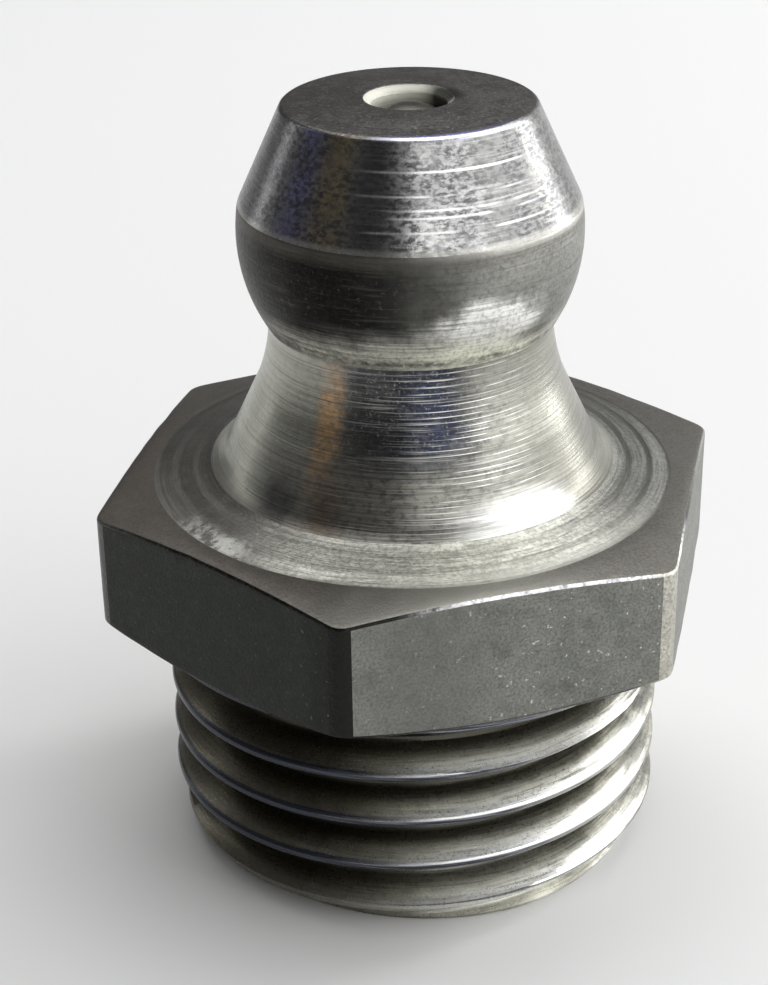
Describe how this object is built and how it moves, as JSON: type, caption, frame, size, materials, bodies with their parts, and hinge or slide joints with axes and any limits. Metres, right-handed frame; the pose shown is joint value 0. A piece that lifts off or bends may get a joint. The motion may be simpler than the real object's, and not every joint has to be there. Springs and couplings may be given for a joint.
{
  "type": "grease nipple",
  "caption": "Straight hydraulic grease nipple with a conical head, a hexagon and a threaded shank, with a sprung check ball in its bore.",
  "frame": {"origin": "middle of the threaded end face, on which the part stands", "axes": "+Z along the axis from the threaded end to the head, X through two corners of the hexagon, Y across two of its flats"},
  "size_m": [0.0126, 0.011, 0.0151],
  "materials": {
    "plated_steel": "turned free-cutting steel, bright zinc plated, with turning marks on the head and neck and a matte drawn surface on the flats",
    "ball_steel": "ground and polished bearing steel",
    "spring_wire": "drawn spring wire, satin"
  },
  "bodies": {
    "nipple": {"body": "plated_steel", "ball_spring": "spring_wire"},
    "ball": {"check_ball": "ball_steel"}
  },
  "joints": [
    {"name": "ball_lift", "type": "slide", "parent": "nipple", "child": "ball", "axis": [0, 0, -1], "range_m": [0, 0.0095], "stiffness_N_per_m": 1700, "deforming": ["ball_spring"]}
  ]
}
